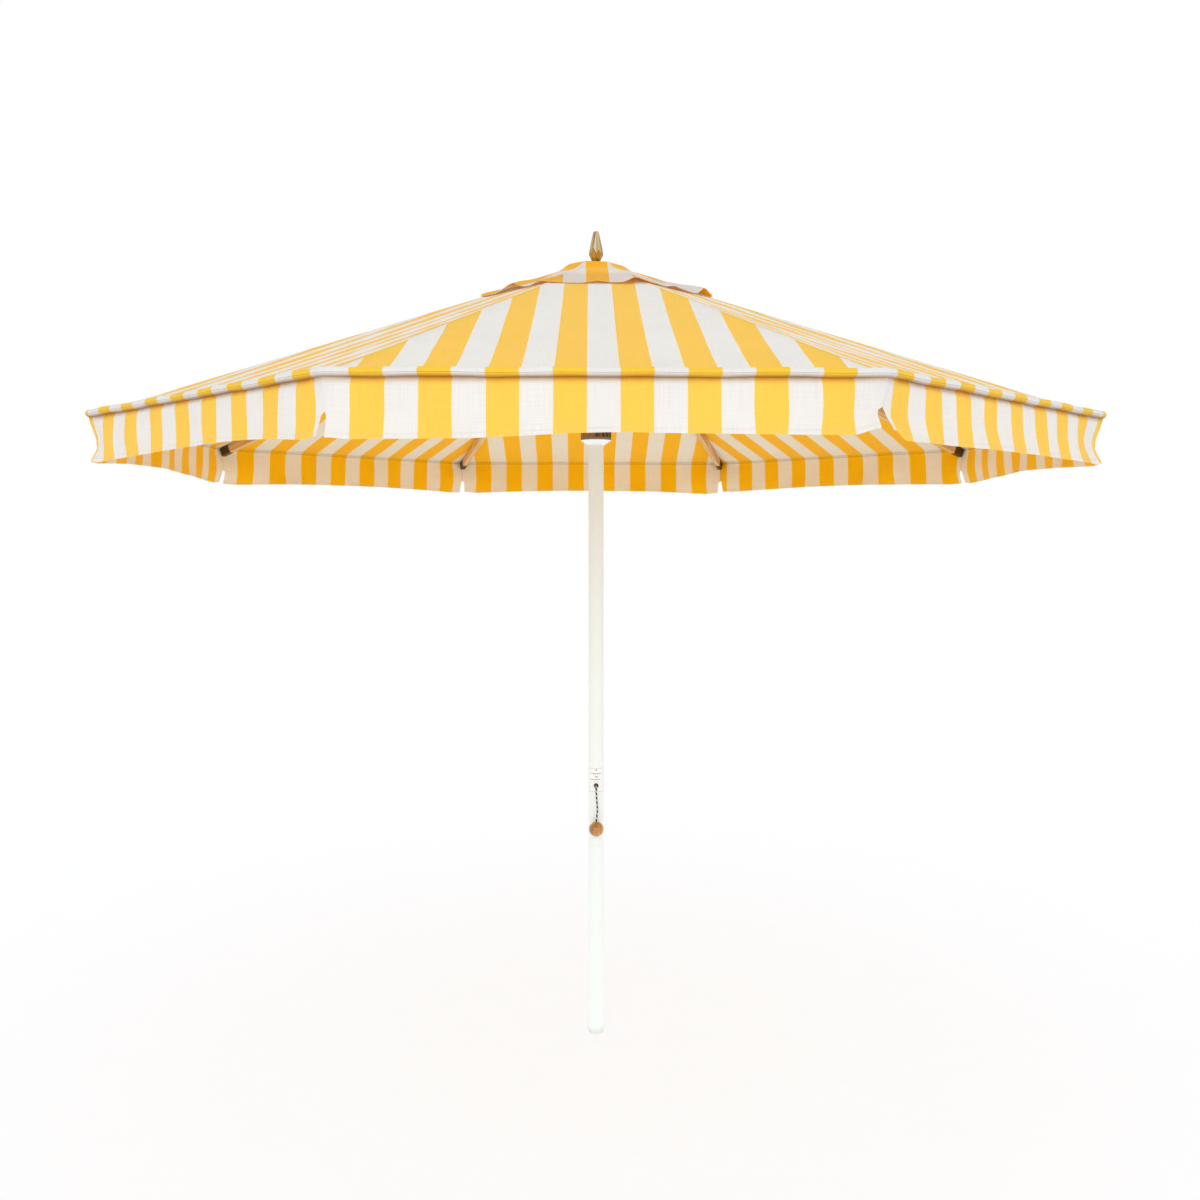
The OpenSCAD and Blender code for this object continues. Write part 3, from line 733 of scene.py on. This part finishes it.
def cap_height(a, u, gore):
    """Height of the cap's face: a soft dome whose free hem lifts and ruffles."""
    radius = a / math.cos(HALF)
    share = np.clip((radius - CROWN_RADIUS) / (CAP_RADIUS - CROWN_RADIUS), 0, 1)
    across = u / (a * TAN_HALF)
    lift = curve_through(across, np.linspace(-1, 1, 9), CAP_LIFT[gore]) * smoothstep((share - 0.50) / 0.50)
    belly = 0.004 * np.sin(math.pi * share) * (1 - across ** 2)
    to_ridge = a * TAN_HALF - np.abs(u)
    seam = 0.0008 * (1 - smoothstep((to_ridge - 0.006) / 0.002)) * smoothstep(share / 0.06)
    turn = gore * STEP + np.arctan2(u, a)
    return cap_profile(radius, turn) + lift + belly + seam


def cap_sheet(name, k, side, first, last, rows, columns, materials):
    """Half a gore of the cap between two ridge radii, and its two distances from the pole axis."""
    angle, sign, gore = half_gore(k, side)
    radii = (first * math.cos(HALF), last * math.cos(HALF))
    a, u = half_gore_grid(radii, rows, columns, CAP_EDGE)
    points = gore_point(angle, a, u * sign, cap_height(a, u * sign, gore))
    uv = np.stack([u * sign, (a - CAP_RADIUS * math.cos(HALF)) * CAP_SLOPE], axis=-1)
    name = f"{name}_{k}_{'after' if side > 0 else 'before'}"
    return cloth_sheet(name, points, uv, (0, 0, 1), materials), radii


def cap_half(k, side, materials):
    piece, radii = cap_sheet("cap_cloth", k, side, COLLAR_RADIUS, CAP_RADIUS, 40, 34, materials)
    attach(piece, f"rib_{k}")
    flatten(piece, k, side)
    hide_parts("vent_cap")
    return piece


def cap_collar(k, side, materials):
    """The narrow part of the cap between the crown, on the pole, and the rib."""
    inside = CROWN_RADIUS - 0.002
    piece, radii = cap_sheet("cap_collar", k, side, inside, COLLAR_RADIUS, 6, 10, materials)
    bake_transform(piece)
    return piece


def crown(materials):
    """The octagon on top of the cap: one puffed round of cloth with a hole for the finial's stud."""
    rings = (0.0045, 0.012, 0.018, 0.022, 0.026, 0.03, 0.036, 0.042, 0.05, 0.058, 0.066, 0.073, 0.079, 0.083,
             0.086)
    columns = GORES * 12
    turn = np.arange(columns) * 2 * math.pi / columns
    within = (turn + HALF) % STEP - HALF
    points, uv = [], []
    for ring in rings:
        octagon = math.cos(HALF) / np.cos(within)
        radius = ring * (1 + (octagon - 1) * smoothstep((ring - 0.03) / 0.04))
        height = cap_profile(radius / octagon, turn) + 0.0012 - 0.0008 * smoothstep((ring - 0.080) / 0.006)
        points.append(np.stack([radius * np.cos(turn), radius * np.sin(turn), height], -1))
        uv.append(np.stack([radius * np.sin(within), radius * np.cos(within) - CAP_RADIUS], -1))
    points, uv = np.array(points), np.array(uv)
    faces = grid_faces(len(rings), columns, True, closed=True)
    piece = add_mesh("cap_crown", points.reshape(-1, 3), faces, materials, uv.reshape(-1, 2))
    shell = piece.modifiers.new("shell", "SOLIDIFY")
    shell.thickness = CLOTH
    shell.offset = -1.0
    apply_modifiers(piece)
    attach(piece, "pole")
    return piece


# ---- Finial ------------------------------------------------------------------------------------
def finial(materials):
    """Cut like a spindle: long kite facets above, a tapering eight-sided foot below, meeting in a zigzag."""
    low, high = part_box("finial")
    base, tip = low.z, high.z
    to_corner = 1 / math.cos(HALF)

    def ring(radius, z, turn=0.0):
        around = [turn + i * STEP - math.pi / 2 for i in range(GORES)]
        return [(radius * math.cos(angle), radius * math.sin(angle), z) for angle in around]

    # three rings of the foot, the girdle's low points over its edges and high points over its facets,
    # then the shoulder and the tip
    rings = [ring(0.0100 * to_corner, base), ring(0.0105 * to_corner, base + 0.012),
             ring(0.0180 * to_corner, base + 0.030), ring(0.0250 * to_corner, base + 0.046),
             ring(0.0262, base + 0.066, HALF), ring(0.0100 * to_corner, tip - 0.003),
             ring(0.0080 * to_corner, tip)]
    vertices = [point for points in rings for point in points]
    foot, low_points, high_points, tops, caps = (level * GORES for level in range(2, 7))
    faces = []
    for i in range(GORES):
        j = (i + 1) % GORES
        for level in (0, GORES):
            faces.append((level + i, level + j, level + GORES + j, level + GORES + i))
        faces.append((foot + i, foot + j, low_points + j, high_points + i, low_points + i))
        faces.append((low_points + i, high_points + i, tops + i))
        faces.append((high_points + i, low_points + j, tops + j))
        faces.append((high_points + i, tops + j, tops + i))
        faces.append((tops + i, tops + j, caps + j, caps + i))
    faces.append(tuple(range(caps, caps + GORES)))
    faces.append(tuple(range(GORES - 1, -1, -1)))
    piece = add_mesh("finial_spindle", vertices, faces, materials, smooth=math.radians(5))
    # the foot's faces take the second, golden-brown material: painted reflection
    for face, corners in zip(piece.data.polygons, faces):
        face.material_index = 1 if max(corners) < tops and len(corners) > 3 else 0
    edge = piece.modifiers.new("edge", "BEVEL")
    edge.width = 0.0010
    edge.segments = 2
    apply_modifiers(piece)
    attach(piece, "pole")
    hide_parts("finial")
    return piece


# ---- Pull cord ---------------------------------------------------------------------------------
CORD_D = 0.0064
BRAID_LENGTH = 0.0135                      # along the cord, for one turn of a strand
CORD_ROUTE = [(0, -0.018, 0.928), (0, -0.023, 0.928), (0, -0.028, 0.928), (0, -0.033, 0.928),
              (0, -0.037, 0.9275), (0, -0.041, 0.9255), (0, -0.044, 0.922), (0, -0.0457, 0.917),
              (0, -0.0464, 0.911), (0.0005, -0.0472, 0.902), (0.001, -0.0486, 0.890),
              (0.002, -0.0502, 0.877), (0.003, -0.0518, 0.864), (0.004, -0.0534, 0.851),
              (0.004, -0.055, 0.838), (0.003, -0.0563, 0.826), (0.0015, -0.0572, 0.815),
              (0.0004, -0.0576, 0.805), (0, -0.05765, 0.797), (0, -0.05765, 0.790)]


def smooth_route(points, step):
    """The route's points joined by a smooth curve, then spaced evenly."""
    p = np.array(points, float)
    dense = []
    padded = np.vstack([2 * p[0] - p[1], p, 2 * p[-1] - p[-2]])
    for i in range(1, len(padded) - 2):
        before, start, end, after = padded[i - 1:i + 3]
        for t in np.linspace(0, 1, 12, endpoint=False):
            dense.append(0.5 * (2 * start + (end - before) * t
                                + (2 * before - 5 * start + 4 * end - after) * t ** 2
                                + (3 * start - before - 3 * end + after) * t ** 3))
    dense.append(padded[-2])
    dense = np.array(dense)
    distance = np.concatenate([[0], np.cumsum(np.linalg.norm(np.diff(dense, axis=0), axis=1))])
    wanted = np.linspace(0, distance[-1], int(distance[-1] / step) + 1)
    return np.stack([np.interp(wanted, distance, dense[:, i]) for i in range(3)], axis=1), distance[-1]


def braided_cord(material):
    path, length = smooth_route(CORD_ROUTE, 0.0006)
    sides = 24
    tangent = np.gradient(path, axis=0)
    tangent /= np.linalg.norm(tangent, axis=1)[:, None]
    across = np.array([1.0, 0, 0]) - tangent * tangent[:, :1]
    across /= np.linalg.norm(across, axis=1)[:, None]
    other = np.cross(tangent, across)
    run = np.linspace(0, length, len(path))[:, None]
    theta = np.linspace(0, 2 * math.pi, sides, endpoint=False)[None, :]
    twist = 2 * math.pi * run / BRAID_LENGTH
    strand = np.maximum(np.abs(np.sin(2 * (theta + twist))), np.abs(np.sin(2 * (theta - twist))))
    radius = CORD_D / 2 * (0.90 + 0.11 * strand)
    points = (path[:, None, :] + radius[..., None] * (np.cos(theta)[..., None] * across[:, None, :]
                                                      + np.sin(theta)[..., None] * other[:, None, :]))
    uv = np.stack([np.broadcast_to(theta / (2 * math.pi), radius.shape),
                   np.broadcast_to(run / BRAID_LENGTH, radius.shape)], axis=-1)
    rows = len(path)
    faces = grid_faces(rows, sides, False, closed=True)
    faces += [tuple(range(sides))[::-1], tuple((rows - 1) * sides + i for i in range(sides))]
    piece = add_mesh("pull_cord_braid", points.reshape(-1, 3), faces, [material], uv.reshape(-1, 2))
    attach(piece, "pull")
    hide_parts("pull_cord")
    return piece


def cord_material():
    """Black and off-white yarns crossing in a diamond braid."""
    s = Shader("braid")
    uv = s.node("UVMap", {"uv_map": "cloth"}).outputs[0]
    parts = s.node("SeparateXYZ", Vector=uv)
    around, along = parts.outputs[0], parts.outputs[1]
    one = s.math("SINE", s.math("MULTIPLY", s.math("ADD", around, along), 2 * math.pi * 2))
    two = s.math("SINE", s.math("MULTIPLY", s.math("SUBTRACT", around, along), 2 * math.pi * 2))
    pick = s.math("GREATER_THAN", s.math("MULTIPLY", one, two), 0.35)
    bundle = s.math("SINE", s.math("MULTIPLY_ADD", along, 2 * math.pi / 1.2,
                                   s.math("MULTIPLY", around, 2 * math.pi)))
    pick = s.math("MAXIMUM", pick, s.math("GREATER_THAN", bundle, -0.3))
    fibre = s.noise(s.object_space(), 1500.0, 2.0)
    black = s.mix(fibre, linear(18, 18, 20), linear(52, 50, 50))
    pale = s.mix(fibre, linear(205, 200, 190), linear(240, 236, 228))
    colour = s.mix(pick, pale, black)
    body = s.principled(Base_Color=colour, Roughness=0.9, Normal=s.bump(fibre, 0.0003, 0.7))
    body.inputs["Sheen Weight"].default_value = 0.2
    return s.finish(body)


# ---- Looks of the parts that the CAD model keeps -----------------------------------------------
def paint(name, material):
    for slot in nodes[name].material_slots:
        slot.material = material


def paint_frame():
    white = coated("powder_white", linear(234, 241, 238), 0.34)
    paint("lower_pole", white)
    paint("upper_pole", white)
    paint("foot_cap", coated("foot_moulding", linear(232, 231, 226), 0.5, 500.0))
    paint("pole_joint_sleeve", metal("sleeve_aluminium", linear(190, 190, 190), 0.4))
    paint("pole_top_plug", coated("plug_moulding", linear(70, 70, 70), 0.5, 500.0))
    paint("cord_eyelet", coated("eyelet_black", linear(22, 22, 24), 0.4, 700.0, dirt=linear(48, 46, 44)))
    paint("pole_label", printed_label("label_film"))
    paint("catch_spring", metal("spring_steel", linear(150, 150, 152), 0.3))
    paint("release_line", coated("line_black", linear(40, 40, 42), 0.8, 900.0))
    steels = {"hub_pins": "pin_steel", "runner_pins": "runner_pin_steel", "finial_stud": "stud_steel"}
    for name, steel in steels.items():
        paint(name, metal(steel, linear(175, 175, 178), 0.3))
    dark = wood("stained_hardwood", linear(14, 6, 1), linear(48, 25, 5), linear(146, 96, 34), upright=True,
                grain=85.0, gloss=0.05, bands=0.6)
    paint("runner_body", dark)
    paint("top_hub", dark)
    paint("runner_ring", metal("ring_zinc", linear(140, 143, 138), 0.42))
    paint("runner_bush", coated("bush_white", linear(246, 246, 244), 0.42, 600.0))
    paint("pull_ball", wood("varnished_beech", linear(100, 58, 6), linear(158, 100, 10), linear(196, 136, 26),
                            upright=True, grain=95.0, gloss=1.0, bands=0.3))
    tilt = math.atan(RIDGE_DROP)
    for k in range(1, GORES + 1):
        turn = rib_angle(k)
        rib = wood(f"rib_ash_{k}", linear(192, 146, 88), linear(220, 176, 116), linear(236, 200, 146),
                   turn=turn, tilt=tilt, grain=60.0, seed=1.7 * k)
        strut = wood(f"strut_ash_{k}", linear(188, 140, 82), linear(216, 170, 110), linear(232, 192, 136),
                     turn=turn, tilt=-tilt, grain=70.0, seed=5.0 + 2.1 * k)
        paint(f"rib_{k}", rib)
        paint(f"strut_{k}", strut)
        bronze = metal(f"fitting_bronze_{k}", linear(118, 94, 46), 0.32, linear(60, 46, 20))
        paint(f"rib_fittings_{k}", bronze)


# ---- Studio ------------------------------------------------------------------------------------
def area_light(name, location, target, size, power, colour=(1, 1, 1)):
    data = bpy.data.lights.new(name, "AREA")
    data.shape = "DISK"
    data.size = size
    data.energy = power
    data.color = colour
    lamp = bpy.data.objects.new(name, data)
    bpy.context.scene.collection.objects.link(lamp)
    lamp.location = location
    lamp.visible_camera = False
    lamp.rotation_euler = (Vector(target) - Vector(location)).to_track_quat("-Z", "Y").to_euler()


def studio():
    world = bpy.data.worlds.new("studio")
    world.use_nodes = True
    world.node_tree.nodes["Background"].inputs[0].default_value = (1.0, 1.0, 1.0, 1.0)
    world.node_tree.nodes["Background"].inputs[1].default_value = 1.0
    bpy.context.scene.world = world
    size = 60.0
    paper = coated("floor_paper", linear(150, 152, 156), 0.9, 30.0)
    shader = paper.node_tree.nodes["Principled BSDF"]
    shader.inputs["Emission Color"].default_value = (1.0, 1.0, 1.0, 1.0)
    shader.inputs["Emission Strength"].default_value = 0.66
    floor = add_mesh("floor", [(-size, -size, 0), (size, -size, 0), (size, size, 0), (-size, size, 0)],
                     [(0, 1, 2, 3)], [paper])
    area_light("key", (-1.5, -8.0, 4.0), (0, 0, 2.0), 3.0, 76)
    area_light("glint", (0.3, -6.0, 2.4), (0, 0, 1.4), 0.5, 10)
    area_light("fill", (5.0, -4.0, 3.0), (0, 0, 1.8), 4.0, 15)
    area_light("bounce", (0, -0.8, 0.02), (0, -0.8, 2.0), 5.0, 12)
    scene = bpy.context.scene
    scene.view_settings.view_transform = "Standard"


# ---- Assembly ----------------------------------------------------------------------------------
braided_cord(cord_material())

HEM_LINE = RIM_Z + 0.002 - VALANCE_BOTTOM - HEM


def gore_cloths(gore):
    """The gore's five cloths: canopy outside and inside, valance outside and inside, and welt."""
    vent, rim = STRIPE_LAY.get(gore, (0.0, 0.0))
    slope = math.hypot(1, GORE_DROP)
    per_metre = (rim - vent) / ((APOTHEM - VENT_RADIUS * math.cos(HALF)) * slope)
    down_gore = (rim - per_metre * APOTHEM * slope, per_metre)
    at_rim = (rim, 0.0)
    # the valance outside carries a painted shadow under the welt, and the welt a painted shade on its lower
    # side
    return (fabric(f"canopy_outside_{gore}", OUTER_YELLOW, OUTER_WHITE, lay=down_gore),
            fabric(f"canopy_inside_{gore}", INNER_BACKLIT_YELLOW, INNER_BACKLIT_WHITE, lay=down_gore),
            fabric(f"valance_outside_{gore}", VALANCE_FRONT_LIT_YELLOW, OUTER_WHITE, hem=HEM_LINE, painted_welt_shadow=0.30,
                   lay=at_rim),
            fabric(f"valance_inside_{gore}", VALANCE_BACKLIT_YELLOW, VALANCE_BACKLIT_WHITE, see_through=0.35, hem=HEM_LINE,
                   seam_thread=SEAM_THREAD, corner=VALANCE_A * TAN_HALF, lay=at_rim),
            fabric(f"welt_outside_{gore}", OUTER_YELLOW, OUTER_WHITE, painted_roll_shade=0.42, lay=at_rim))


gores = [gore_cloths(gore) for gore in range(GORES)]
cap_cloths = [fabric("cap_outside", CAP_BACKLIT_YELLOW, OUTER_WHITE, centre_white=False, see_through=0.40, hem=-HEM),
              fabric("cap_inside", VALANCE_BACKLIT_YELLOW, VALANCE_BACKLIT_WHITE, centre_white=False, see_through=0.6,
                     hem=-HEM)]
for k in range(1, GORES + 1):
    for side in (-1, 1):
        cloths = gores[half_gore(k, side)[2]]
        canopy_half(k, side, cloths[0:2])
        welt_half(k, side, cloths[4])
        valance_half(k, side, cloths[2:4])
        cap_half(k, side, cap_cloths)
        cap_collar(k, side, cap_cloths)
crown(cap_cloths[:1])
# the finial's second material, golden-brown on the foot, is painted reflection
finial([cut_brass("finial_brass", linear(122, 96, 56), linear(188, 160, 112), linear(232, 216, 184)),
        cut_brass("finial_golden_reflection", linear(92, 58, 12), linear(158, 108, 22), linear(204, 152, 52))])
paint_frame()
studio()
